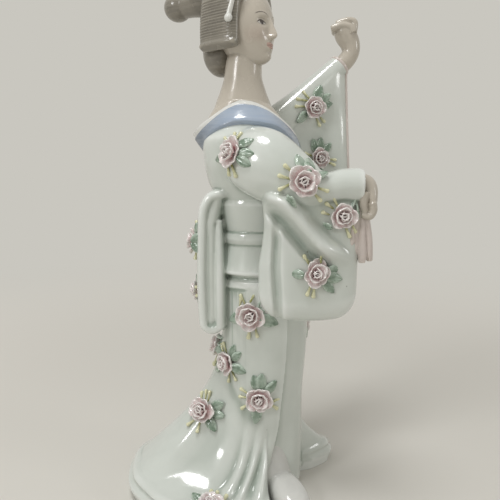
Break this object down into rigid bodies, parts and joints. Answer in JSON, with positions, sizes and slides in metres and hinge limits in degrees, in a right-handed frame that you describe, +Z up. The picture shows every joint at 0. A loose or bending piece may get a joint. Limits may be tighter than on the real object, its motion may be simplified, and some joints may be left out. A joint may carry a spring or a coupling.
{
  "type": "porcelain figurine",
  "caption": "Glazed porcelain figurine of a dancer in a trailing long-sleeved kimono with an obi bow, applied roses and one raised arm.",
  "frame": {"origin": "on the flat underside, just behind the axis of the skirt, on the level of the table", "axes": "+Z up, +X the way her chest faces, +Y her left"},
  "size_m": [0.1378, 0.0983, 0.2893],
  "materials": {
    "glazed_porcelain": "gloss"
  },
  "bodies": {
    "root": {"figurine": "glazed_porcelain"}
  },
  "joints": []
}
